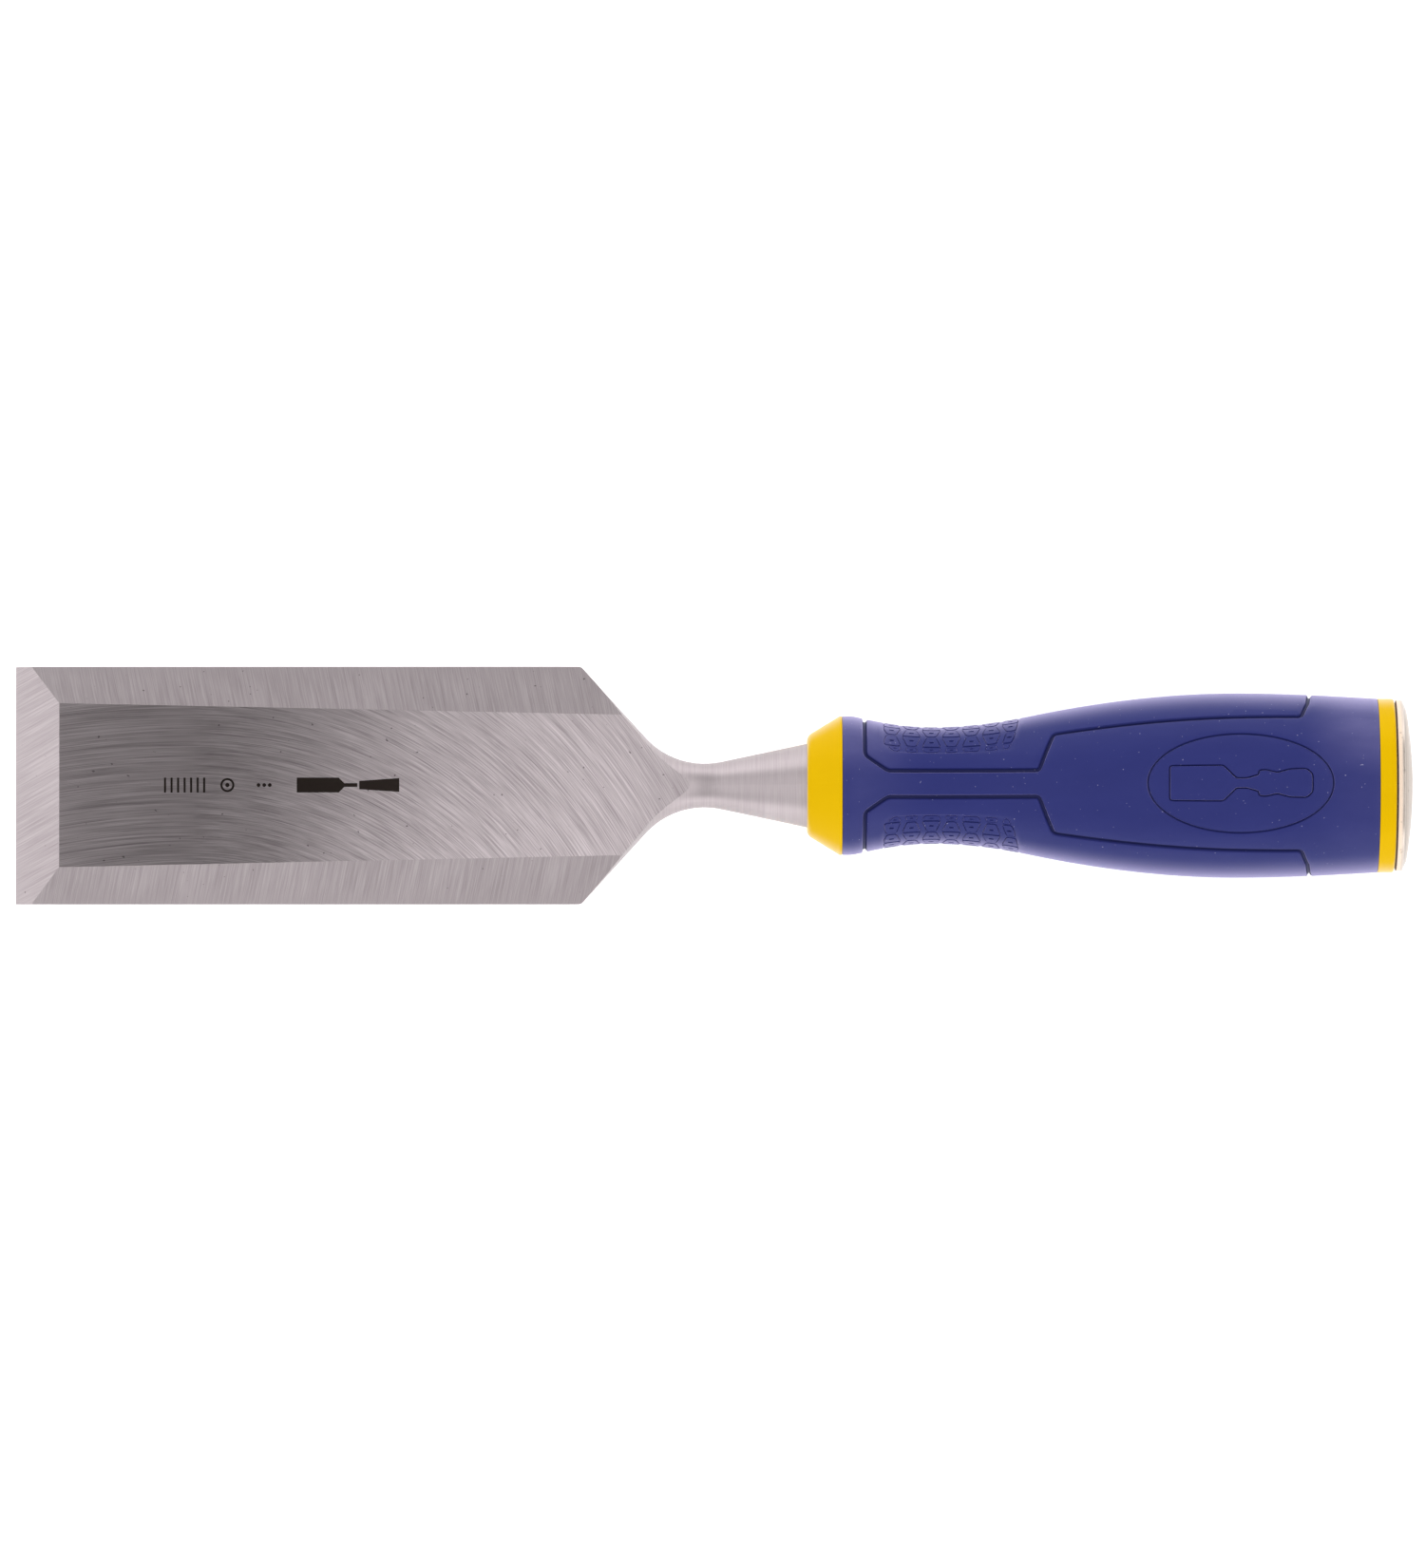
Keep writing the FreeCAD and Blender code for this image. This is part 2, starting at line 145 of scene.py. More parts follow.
class Drawing:
    def __init__(self):
        self.points = []
        self.lines = []

    def path(self, stations, lift, closed=False):
        """Draws a line of (x, theta) stations, all with one lift."""
        first = len(self.points)
        self.points += [(x, theta, lift) for x, theta in stations]
        last = len(self.points) - 1
        self.lines += [(index, index + 1) for index in range(first, last)]
        if closed:
            self.lines.append((last, first))

    def fill(self, stations_and_lifts):
        """Adds the plain points that don't crowd a drawn one."""
        tree = KDTree(len(self.points))
        for index, (x, theta, _) in enumerate(self.points):
            tree.insert((x, theta * SPREAD, 0), index)
        tree.balance()
        for x, theta, lift in stations_and_lifts:
            if tree.find((x, theta * SPREAD, 0))[2] > CLEARANCE:
                self.points.append((x, theta, lift))

    def triangles(self):
        """Points and triangles of the finished drawing."""
        flat = [Vector((x, theta * SPREAD)) for x, theta, _ in self.points]
        placed, _, faces, origins, _, _ = delaunay_2d_cdt(flat, self.lines, [], 0, SAME_PLACE)
        points = []
        for place, origin in zip(placed, origins):
            if not origin:
                raise RuntimeError("two lines of the grip's drawing cross at %s" % place)
            points.append(self.points[origin[0]])
        faces = [face for face in faces if area_tri(*(placed[index] for index in face)) > NO_AREA]
        return points, faces


def offset_path(path, distance, scale, closed):
    """The path moved to its right by a true distance; scale(x) is millimetres per radian.

    An open path is taken to meet its mirror image at both ends.
    """
    moved = []
    count = len(path)
    for index, (x, theta) in enumerate(path):
        radius = scale(x)
        sides = []
        for a, b in ((index - 1, index), (index, index + 1)):
            if closed or (a >= 0 and b < count):
                (x0, theta0), (x1, theta1) = path[a % count], path[b % count]
                sides.append(Vector(((theta1 - theta0) * radius, x0 - x1)).normalized())
        if len(sides) == 1:
            sides.append(Vector((sides[0].x, -sides[0].y)))
        mitre = sides[0] + sides[1]
        mitre *= 2 / mitre.length_squared
        moved.append((x + mitre.x * distance, theta + mitre.y * distance / radius))
    return moved


def rounded_path(corners, reach, scale, closed, steps=4):
    """The path with each real corner replaced by a curve that starts its reach before it."""
    path = []
    count = len(corners)
    for index, corner in enumerate(corners):
        radius = scale(corner[0])
        here = Vector((corner[0], corner[1] * radius))
        legs = [
            Vector((other[0], other[1] * radius)) - here
            for other in (corners[index - 1], corners[(index + 1) % count])
        ]
        at_end = not closed and index in (0, count - 1)
        if at_end or (-legs[0]).angle(legs[1]) < STRAIGHT_ENOUGH:
            path.append(corner)
            continue
        ends = [here + leg.normalized() * min(reach, LONGEST_ROUNDING * leg.length) for leg in legs]
        for step in range(steps + 1):
            t = step / steps
            place = ends[0] * (1 - t) ** 2 + here * 2 * t * (1 - t) + ends[1] * t * t
            path.append((place.x, place.y / radius))
    return path


def divided_path(path, scale, closed):
    """The path with its long stretches cut into equal shorter ones."""
    result = []
    pairs = list(zip(path, path[1:] + path[:1]))
    if not closed:
        pairs.pop()
    for (x0, theta0), (x1, theta1) in pairs:
        length = math.hypot(x1 - x0, (theta1 - theta0) * scale((x0 + x1) / 2))
        parts = max(1, math.ceil(length / LINE_STEP))
        for part in range(parts):
            t = part / parts
            result.append((x0 + (x1 - x0) * t, theta0 + (theta1 - theta0) * t))
    if not closed:
        result.append(path[-1])
    return result


def below(stations):
    """A loop that starts at the side and comes over the top, closed by its image underneath."""
    return stations + [(x, math.pi - theta) for x, theta in reversed(stations[1:-1])]


# ---- panel grooves -------------------------------------------------------------------------

LAND_HALF_WIDTH = 2.86      # plain strip along the top between the two side panels
GROOVE_FRONT = GRIP_FRONT + 4.9
GROOVE_NOSE = GRIP_FRONT + 9.8
GROOVE_BEND = GRIP_FRONT + 42.0
GROOVE_SHOULDER = GRIP_FRONT + 45.2
GROOVE_TAIL = GRIP_FRONT + 98.2
GROOVE_REAR = GRIP_FRONT + 100.4
GROOVE_ROUNDING = 0.9
GROOVE_PROFILE = (          # (distance from the middle of the groove, lift)
    (-0.72, 0.0),
    (-0.56, -0.05),
    (-0.43, -0.25),
    (-0.28, -0.64),
    (0.0, -0.72),
    (0.28, -0.64),
    (0.43, -0.25),
    (0.56, -0.05),
    (0.72, 0.0),
)


def groove_path():
    """Middle of the groove round one side panel."""
    strip = []
    steps = 24
    for step in range(steps + 1):
        x = GROOVE_NOSE + (GROOVE_BEND - GROOVE_NOSE) * step / steps
        strip.append((x, math.asin(LAND_HALF_WIDTH / half_width(x))))
    front = [
        (GROOVE_FRONT, math.radians(90)),
        (GROOVE_FRONT, math.radians(26)),
    ]
    rear = [
        (GROOVE_SHOULDER, math.radians(42.5)),
        (GROOVE_TAIL, math.radians(47.7)),
        (GROOVE_REAR - 0.7, math.radians(64)),
        (GROOVE_REAR, math.radians(90)),
    ]
    upper = rounded_path(front + strip + rear, GROOVE_ROUNDING, half_width, False)
    return divided_path(below(upper), half_width, True)


def draw_grooves(drawing):
    path = groove_path()
    for distance, lift in GROOVE_PROFILE:
        drawing.path(offset_path(path, distance, half_width, True), lift, True)


# ---- oval badge ----------------------------------------------------------------------------

BADGE_X = GRIP_FRONT + 85.1
BADGE_HALF_LENGTH = 19.9
BADGE_HALF_WIDTH = 11.3     # along the skin
BADGE_FLOOR = -0.15
BADGE_STEPS = 56
BADGE_RIM = (               # (distance outwards from the oval, lift)
    (0.3, 0.0),
    (0.18, -0.04),
    (0.05, -0.44),
    (-0.1, -0.46),
    (-0.26, BADGE_FLOOR - 0.03),
    (-0.38, BADGE_FLOOR),
)
EMBLEM_ROUNDING = 0.5
EMBLEM_EDGE = (             # (distance outwards from the emblem, lift)
    (0.0, 0.0),
    (0.14, -0.55),
    (0.38, BADGE_FLOOR),
)
# half outline of a plain chisel seen from above, as (distance behind the oval's middle, half-width)
EMBLEM = (
    (-15.0, 0.0),
    (-15.0, 3.7),
    (-3.8, 3.7),
    (-1.0, 0.9),
    (1.4, 0.9),
    (4.0, 1.7),
    (4.0, 2.6),
    (5.4, 2.7),
    (7.8, 2.1),
    (10.6, 2.9),
    (14.0, 3.0),
    (15.2, 1.9),
    (15.2, 0.0),
)


def badge_scale(x):
    """Millimetres per radian, the same all over the badge, so that the oval stays true."""
    return half_width(BADGE_X)


def badge_oval():
    """Half oval from the rear end to the front end, on the drawn half of the skin."""
    path = []
    for step in range(BADGE_STEPS + 1):
        turn = math.pi * step / BADGE_STEPS
        theta = BADGE_HALF_WIDTH * math.sin(turn) / badge_scale(BADGE_X)
        path.append((BADGE_X + BADGE_HALF_LENGTH * math.cos(turn), theta))
    path[-1] = (path[-1][0], 0.0)
    return path


def emblem_path():
    """Half outline of the emblem, on the drawn half of the skin."""
    corners = [(BADGE_X + back, width / badge_scale(BADGE_X)) for back, width in EMBLEM]
    path = rounded_path(corners, EMBLEM_ROUNDING, badge_scale, False)
    return divided_path(path, badge_scale, False)


def underneath(path):
    """The same path on the underside of the grip."""
    return [(x, math.pi - theta) for x, theta in path]


def draw_badge(drawing):
    for distance, lift in BADGE_RIM:
        rim = offset_path(badge_oval(), distance, badge_scale, False)
        drawing.path(rim, lift)
        drawing.path(underneath(rim), lift)
    for distance, lift in EMBLEM_EDGE:
        outline = offset_path(emblem_path(), -distance, badge_scale, False)
        drawing.path(outline, lift)
        drawing.path(underneath(outline), lift)


def badge_lift(x, theta):
    """Lift of a plain point: on the emblem, on the badge's floor, or outside the badge."""
    back = x - BADGE_X
    width = min(theta, math.pi - theta) * badge_scale(x)
    if (back / BADGE_HALF_LENGTH) ** 2 + (width / BADGE_HALF_WIDTH) ** 2 > 1:
        return 0.0
    for (x0, width0), (x1, width1) in zip(EMBLEM[1:-1], EMBLEM[2:-1]):
        if x0 <= back <= x1 and x1 > x0:
            if width < width0 + (width1 - width0) * (back - x0) / (x1 - x0):
                return EMBLEM_EDGE[0][1]
    return BADGE_FLOOR


# ---- pad pattern at the waist --------------------------------------------------------------

PATTERN_RADIUS = 13.3       # millimetres per radian, near enough all over the pattern
CHANNEL_LIFT = -0.1         # shallow channels between the pads
PAD_COLUMNS = 7
PAD_ROWS = 7                # whole rows; the border cuts through one more on each side
FIRST_COLUMN = GRIP_FRONT + 10.55
COLUMN_PITCH = 4.28
ROW_PITCH = math.radians(15)
FIRST_EDGE = math.radians(39)
PAD_WIDE = 1.84             # half-width at a pad's wide end
PAD_NARROW = 0.92           # and at its narrow end
WIDE_GAP = 0.22             # from the row's edge to a wide end
NARROW_GAP = 0.34
PAD_EDGE = (                # (distance outwards from a pad's top, lift)
    (0.0, 0.0),
    (0.1, -0.36),
    (0.2, CHANNEL_LIFT),
)
PAD_ROUNDING = 0.38
FADE = 0.35                 # the outermost rows are this much as deep, the next twice that
BORDER_WALL = 0.13          # width of the wall round the field of pads
BORDER_GAP = 0.42           # from the border to the pads
BORDER_ROUNDING = 0.8
SMALLEST_PAD = 1.0          # what the border leaves of a pad is dropped if it is shorter
DIMPLED_PAD = 2.0           # pads at least this long have a dent in the middle
DIMPLE_HALF_LENGTH = 0.72
DIMPLE_HALF_WIDTH = 0.25
DIMPLE_LENGTH_SHARE = 0.26  # a dent's half-length is at most this share of its pad
DIMPLE_WIDTH_SHARE = 0.18
DIMPLE_DEPTH = 0.5
DIMPLE_STEPS = 10


def pattern_scale(x):
    return PATTERN_RADIUS


def pattern_border():
    """Outline of the sunk field that holds the pads."""
    upper = [
        (GRIP_FRONT + 38.5, math.radians(90)),
        (GRIP_FRONT + 37.9, math.radians(66)),
        (GRIP_FRONT + 37.1, math.radians(45)),
        (GRIP_FRONT + 35.7, math.radians(31.5)),
        (GRIP_FRONT + 10.9, math.radians(31.5)),
        (GRIP_FRONT + 8.7, math.radians(40)),
        (GRIP_FRONT + 8.7, math.radians(90)),
    ]
    return below(upper)


def clipped(polygon, fence):
    """The part of a polygon inside a convex fence whose corners run the same way round."""
    for (x0, t0), (x1, t1) in zip(fence, fence[1:] + fence[:1]):
        def side(point):
            return (x1 - x0) * (point[1] - t0) - (t1 - t0) * (point[0] - x0)
        kept = []
        for here, after in zip(polygon, polygon[1:] + polygon[:1]):
            a, b = side(here), side(after)
            if a <= 0:
                kept.append(here)
            if (a < 0 < b) or (b < 0 < a):
                t = a / (a - b)
                (x2, t2), (x3, t3) = here, after
                kept.append((x2 + (x3 - x2) * t, t2 + (t3 - t2) * t))
        polygon = kept
        if len(polygon) < 3:
            return []
    return polygon


def pad_corners(column, row):
    """A four-sided pad, wide at one end and narrow at the other."""
    middle = FIRST_COLUMN + column * COLUMN_PITCH
    corners = []
    for edge, inward in ((row, 1), (row + 1, -1)):
        wide = (edge + column) % 2 == 0
        half = PAD_WIDE if wide else PAD_NARROW
        gap = WIDE_GAP if wide else NARROW_GAP
        theta = FIRST_EDGE + edge * ROW_PITCH + inward * gap / PATTERN_RADIUS
        corners += [(middle - inward * half, theta), (middle + inward * half, theta)]
    return corners


def length_of(corners):
    """Reach of a polygon along the grip."""
    places = [x for x, _ in corners]
    return max(places) - min(places)


def draw_pads(drawing):
    """The sunk field with its pads; the outermost rows fade out."""
    border = rounded_path(pattern_border(), BORDER_ROUNDING, pattern_scale, True)
    border = divided_path(border, pattern_scale, True)
    drawing.path(border, 0.0, True)
    drawing.path(offset_path(border, BORDER_WALL, pattern_scale, True), CHANNEL_LIFT, True)
    fence = offset_path(pattern_border(), BORDER_GAP, pattern_scale, True)
    for column in range(PAD_COLUMNS):
        for row in range(-1, PAD_ROWS + 1):
            corners = clipped(pad_corners(column, row), fence)
            if not corners or length_of(corners) < SMALLEST_PAD:
                continue
            top = rounded_path(corners, PAD_ROUNDING, pattern_scale, True, steps=3)
            top = divided_path(top, pattern_scale, True)
            fullness = min(1.0, FADE * (2 + min(row, PAD_ROWS - 1 - row)))
            for distance, lift in PAD_EDGE:
                if lift < CHANNEL_LIFT:
                    lift = CHANNEL_LIFT + (lift - CHANNEL_LIFT) * fullness
                drawing.path(offset_path(top, distance, pattern_scale, True), lift, True)
            if length_of(corners) > DIMPLED_PAD:
                draw_dimple(drawing, corners, DIMPLE_DEPTH * fullness)


def centre_of(corners):
    """Centre of a polygon's area."""
    total = x_sum = theta_sum = 0.0
    for (x0, theta0), (x1, theta1) in zip(corners, corners[1:] + corners[:1]):
        part = x0 * theta1 - x1 * theta0
        total += 3 * part
        x_sum += (x0 + x1) * part
        theta_sum += (theta0 + theta1) * part
    return x_sum / total, theta_sum / total


def draw_dimple(drawing, corners, depth):
    """Short oval dent in the middle of a pad."""
    turns = [theta for _, theta in corners]
    turn = max(turns) - min(turns)
    half_length = min(DIMPLE_HALF_LENGTH, DIMPLE_LENGTH_SHARE * length_of(corners))
    half_turn = min(DIMPLE_HALF_WIDTH / PATTERN_RADIUS, DIMPLE_WIDTH_SHARE * turn)
    centre_x, centre_theta = centre_of(corners)
    for share, lift in ((1.0, 0.0), (0.5, -depth)):
        oval = []
        for step in range(DIMPLE_STEPS):
            angle = 2 * math.pi * step / DIMPLE_STEPS
            x = centre_x + half_length * share * math.cos(angle)
            oval.append((x, centre_theta + half_turn * share * math.sin(angle)))
        drawing.path(oval, lift, True)


def in_pattern(x, theta):
    """True inside the sunk field, by counting the border's sides beyond the point."""
    inside = False
    border = pattern_border()
    for (x0, t0), (x1, t1) in zip(border, border[1:] + border[:1]):
        if (t0 > theta) != (t1 > theta) and x < x0 + (x1 - x0) * (theta - t0) / (t1 - t0):
            inside = not inside
    return inside


# ---- grip mesh -----------------------------------------------------------------------------

GRID_X = 1.1                # spacing of the plain points
GRID_THETA = math.radians(3.6)
SEAM = (                    # (distance from the grip's end, lift): a fine seam against the core
    (0.0, -0.22),
    (0.1, -0.07),
    (0.26, 0.0),
)
CORE_OUTLINE = (            # outside of the core under the grip, as in OUTLINE
    (6.5, 10.2, 0.0),
    (25.5, 9.8, 0.0),
    (72.5, 16.2, 0.04),
    (107.5, 16.4, 0.0),
)
CORE_GAP = 0.05             # between the core and the grip's bore
LOCK_RING_FRONT = 2.5
LOCK_RING_REAR = 4.5
LOCK_RING_RADIUS = 12.6
BORE_STEPS = 20
TURN_START = 0.01           # rings are put in order from just before the top
SHARP_ANGLE = math.radians(40)
MIDDLE_PLANE = 1e-7         # metres from the middle plane within which the halves are joined
JOIN_DISTANCE = 1e-6        # metres


def plain_points():
    """Even spread of points over the half skin, with their lifts."""
    rows = round(math.pi / GRID_THETA)
    columns = round(GRIP_LENGTH / GRID_X)
    last_seam = SEAM[-1][0]
    for row in range(rows + 1):
        theta = math.pi * row / rows
        for column in range(1, columns):
            x = GRIP_FRONT + last_seam + (GRIP_LENGTH - 2 * last_seam) * column / columns
            if not in_pattern(x, theta):
                yield x, theta, badge_lift(x, theta)


def draw_seams(drawing):
    """Lines round both ends, so that the seam's edge is crisp."""
    rows = round(math.pi / GRID_THETA)
    turns = [math.pi * row / rows for row in range(rows + 1)]
    for distance, lift in SEAM:
        drawing.path([(GRIP_FRONT + distance, theta) for theta in turns], lift)
        drawing.path([(GRIP_REAR - distance, theta) for theta in turns], lift)


def half_skin():
    """Points and triangles of the left half of the skin."""
    drawing = Drawing()
    draw_seams(drawing)
    draw_grooves(drawing)
    draw_badge(drawing)
    draw_pads(drawing)
    drawing.fill(plain_points())
    return drawing.triangles()


def turn_of(vert):
    """Angle of a vertex round the axis, from TURN_START before the top."""
    turn = math.atan2(vert.co.y, vert.co.z - AXIS_Z * MM)
    return (turn + TURN_START) % (2 * math.pi) - TURN_START


def end_ring(mesh, x):
    """The open edge of the skin at x, in order round the axis."""
    ring = [vert for vert in mesh.verts if vert.is_boundary and abs(vert.co.x / MM - x) < 1]
    return sorted(ring, key=turn_of)


def bore():
    """Inside of the sleeve, as (distance behind its front, radius)."""
    first = CORE_OUTLINE[0][1]
    stations = [
        (0, first),
        (LOCK_RING_FRONT, first),
        (LOCK_RING_FRONT, LOCK_RING_RADIUS),
        (LOCK_RING_REAR, LOCK_RING_RADIUS),
        (LOCK_RING_REAR, first),
    ]
    for step in range(1, BORE_STEPS + 1):
        back = LOCK_RING_REAR + (GRIP_LENGTH - LOCK_RING_REAR) * step / BORE_STEPS
        stations.append((back, radius_along(CORE_OUTLINE, back)))
    return stations


def line_sleeve(mesh):
    """Closes the skin into a solid sleeve, with an end face at each end and a bore."""
    front = end_ring(mesh, GRIP_FRONT)
    rear = end_ring(mesh, GRIP_REAR)
    turns = [turn_of(vert) for vert in front]
    rings = [front]
    for back, radius in bore():
        reach = radius + CORE_GAP
        rings.append([
            mesh.verts.new(Vector((
                GRIP_FRONT + back,
                reach * math.sin(turn),
                AXIS_Z + reach * math.cos(turn),
            )) * MM)
            for turn in turns
        ])
    rings.append(rear)
    for ring, following in zip(rings, rings[1:]):
        for index in range(len(ring)):
            before = index - 1
            mesh.faces.new((ring[before], ring[index], following[index], following[before]))


def build_grip():
    """The grip as one closed mesh, with how deep each point lies below the smooth skin."""
    points, faces = half_skin()
    mesh = bmesh.new()
    sink = mesh.verts.layers.float.new("sink")
    for mirror in (1, -1):
        verts = []
        for x, theta, lift in points:
            verts.append(mesh.verts.new(skin_point(x, mirror * theta, lift)))
            verts[-1][sink] = max(-lift, 0.0)
        for face in faces:
            corners = [verts[index] for index in face]
            mesh.faces.new(corners if mirror > 0 else corners[::-1])
    seam = [vert for vert in mesh.verts if abs(vert.co.y) < MIDDLE_PLANE]
    bmesh.ops.remove_doubles(mesh, verts=seam, dist=JOIN_DISTANCE)
    line_sleeve(mesh)
    bmesh.ops.recalc_face_normals(mesh, faces=mesh.faces)
    data = bpy.data.meshes.new("grip")
    mesh.to_mesh(data)
    mesh.free()
    data.shade_smooth()
    data.set_sharp_from_angle(angle=SHARP_ANGLE)
    grip = bpy.data.objects.new("grip", data)
    bpy.context.scene.collection.objects.link(grip)
    return grip


# ---- node materials ------------------------------------------------------------------------

class Value:
    """A number in a node tree.  Arithmetic on it adds math nodes."""

    def __init__(self, tree, socket):
        self.tree = tree
        self.socket = socket

    def math(self, operation, *others):
        node = self.tree.nodes.new("ShaderNodeMath")
        node.operation = operation
        for slot, operand in zip(node.inputs, (self,) + others):
            plug(self.tree, slot, operand)
        return Value(self.tree, node.outputs[0])

    def __add__(self, other):
        return self.math("ADD", other)

    def __mul__(self, other):
        return self.math("MULTIPLY", other)

    def __sub__(self, other):
        return self.math("SUBTRACT", other)

    def __truediv__(self, other):
        return self.math("DIVIDE", other)

    def __rsub__(self, other):
        return self.math("MULTIPLY", -1.0) + other

    __radd__ = __add__
    __rmul__ = __mul__

    def above(self, limit):
        return self.math("GREATER_THAN", limit)

    def under(self, limit):
        return self.math("LESS_THAN", limit)

    def size(self):
        return self.math("ABSOLUTE")

    def ramp(self, low, high):
        """0 at low, 1 at high, smooth between."""
        node = self.tree.nodes.new("ShaderNodeMapRange")
        node.interpolation_type = "SMOOTHSTEP"
        plug(self.tree, node.inputs["Value"], self)
        node.inputs["From Min"].default_value = low
        node.inputs["From Max"].default_value = high
        return Value(self.tree, node.outputs["Result"])


def plug(tree, slot, operand):
    """Sets an input to a number or a colour, or links it."""
    if isinstance(operand, Value):
        tree.links.new(operand.socket, slot)
    elif isinstance(operand, bpy.types.NodeSocket):
        tree.links.new(operand, slot)
    else:
        slot.default_value = operand


class Look:
    """A node material under construction."""

    def __init__(self, name):
        self.material = bpy.data.materials.new(name)
        self.material.use_nodes = True
        self.tree = self.material.node_tree
        self.shader = self.tree.nodes["Principled BSDF"]

    def node(self, kind, inputs=None, **settings):
        """New node, with inputs by name or number and settings by name."""
        made = self.tree.nodes.new(kind)
        for key, value in settings.items():
            setattr(made, key, value)
        for key, value in (inputs or {}).items():
            plug(self.tree, made.inputs[key], value)
        return made

    def value(self, socket):
        return Value(self.tree, socket)

    def place(self):
        """X, Y and Z of the shaded point, in millimetres."""
        source = self.node("ShaderNodeTexCoord").outputs["Object"]
        axes = self.node("ShaderNodeSeparateXYZ", {0: source})
        return [self.value(socket) * (1 / MM) for socket in axes.outputs]

    def facing(self):
        """X, Y and Z of the true normal."""
        source = self.node("ShaderNodeNewGeometry").outputs["True Normal"]
        axes = self.node("ShaderNodeSeparateXYZ", {0: source})
        return [self.value(socket) for socket in axes.outputs]

    def vector(self, x, y, z):
        return self.node("ShaderNodeCombineXYZ", {0: x, 1: y, 2: z}).outputs[0]

    def noise(self, vector, detail=2.0, roughness=0.5):
        """Noise from 0 to 1, one bump for each unit of the vector."""
        made = self.node("ShaderNodeTexNoise", {
            "Vector": vector, "Scale": 1.0, "Detail": detail, "Roughness": roughness,
        })
        return self.value(made.outputs["Fac"])

    def grain(self, place, per_mm, detail=2.0, roughness=0.5):
        """Noise that is alike in all directions, with so many bumps for each millimetre."""
        x, y, z = place
        return self.noise(self.vector(x * per_mm, y * per_mm, z * per_mm), detail, roughness)

    def blend(self, share, first, second):
        """Colour that goes from first to second as share goes from 0 to 1."""
        made = self.node("ShaderNodeMix", data_type="RGBA")
        plug(self.tree, made.inputs[0], share)
        plug(self.tree, made.inputs[6], first)
        plug(self.tree, made.inputs[7], second)
        return made.outputs[2]

    def edge_on(self):
        """0 where the surface faces the eye, 1 where it is seen edge-on."""
        return self.value(self.node("ShaderNodeLayerWeight", {"Blend": 0.5}).outputs["Facing"])

    def bump(self, height, distance, strength=1.0):
        made = self.node("ShaderNodeBump", {
            "Height": height, "Distance": distance * MM, "Strength": strength,
        })
        return made.outputs["Normal"]

    def finish(self, **inputs):
        """Sets the surface's inputs, named with _ for each space."""
        for key, value in inputs.items():
            plug(self.tree, self.shader.inputs[key.replace("_", " ")], value)
        return self.material


def rgb(red, green, blue):
    """Linear colour from screen values of 0 to 255."""
    def linear(level):
        share = level / 255
        return share / 12.92 if share <= 0.04045 else ((share + 0.055) / 1.055) ** 2.4
    return (linear(red), linear(green), linear(blue), 1.0)


# ---- blade steel ---------------------------------------------------------------------------

# behind these places a surface that faces the same way is part of the turned neck
EDGE_END = 12.0
SIDE_END = 122.0
BEVEL_END = 132.0
FACE_END = 145.6
FACE_BOTTOM = 3.0           # the face lies above this height, and the flat back below it

# directions of the wheel marks
WHEEL_X = 38.0              # the grinding arcs of the face are level here
WHEEL_Y = -84.0             # and curve round a point this far to the side
ARC_OPENING = 0.45          # the arcs in front of that place are flatter
ARC_CLOSING = 0.4 / 100 ** 2
BEVEL_SLANT = math.radians(12)
EDGE_SLANT = math.radians(28)

# wheel marks, as bumps for each millimetre across the marks and along them
FINE_MARKS = (3.8, 0.08)
BROAD_MARKS = (1.1, 0.035)
SCORES = (3.0, 0.035)
CLOUDS_PER_MM = 0.06
SPECKS_PER_MM = 1.2

# screen colours of the steel, and the share of the dark colour that shades each surface
DARK_STEEL = (152, 142, 145)
PALE_STEEL = (212, 202, 205)
SHADE_COLOUR = (60, 54, 55)
STAIN_COLOUR = (60, 54, 54)
ETCHED_COLOUR = (52, 45, 42)
SHADES = {"bevel": 0.2, "edge": 0.14, "turned": 0.2}
TIP_SHADE = 0.22            # the face is shaded more and more, up to this, towards its tip
TIP_SHADE_FROM = 128.0
TIP_SHADE_TO = 145.0


def sum_of(regions, values):
    """The value of the region that the point is in."""
    total = None
    for name, value in values.items():
        part = regions[name] * value
        total = part if total is None else total + part
    return total


def blade_regions(x, z, nx, ny, nz):
    """A mask of 0 or 1 for each ground surface of the blade, and for the turned rest."""
    regions = {
        "face": nz.above(0.995) * z.above(FACE_BOTTOM) * x.under(FACE_END),
        "edge": nx.under(-0.3) * nz.above(0.5) * x.under(EDGE_END),
        "bevel": ny.size().above(0.2) * nz.above(0.9) * x.under(BEVEL_END),
        "back": nz.under(-0.99),
        "side": ny.size().above(0.98) * x.under(SIDE_END),
    }
    ground = sum_of(regions, dict.fromkeys(regions, 1.0))
    regions["turned"] = 1.0 - ground.math("MINIMUM", 1.0)
    return regions


# marks etched on the blade, placed by their distance behind the cutting edge
MARK_HALF_HEIGHT = 1.6
SCALE_FRONT = 32.0
SCALE_REAR = 41.0
SCALE_PITCH = 1.4
TICK_SHARE = 0.32           # of the pitch
RING_X = 45.6
RING_RADIUS = 1.5
RING_HOLE = 1.05
RING_DOT = 0.45
DOTS_X = 53.5
DOT_PITCH = 1.2
DOT_RADIUS = 0.4
DOT_COUNT = 3
SIGN_X = 60.5
SIGN_SHOULDER = 9.0         # from here on, distances behind the front of the little chisel
SIGN_NECK = 10.2
SIGN_NECK_END = 13.0
SIGN_NECK_HALF_HEIGHT = 0.4
SIGN_HANDLE = 13.4
SIGN_END = 22.0
SIGN_HANDLE_SLOPE = 0.07    # the handle widens towards its end
SIGN_HANDLE_TRIM = 0.05


def between(value, low, high):
    """1 between the limits, 0 outside."""
    return value.above(low) * value.under(high)


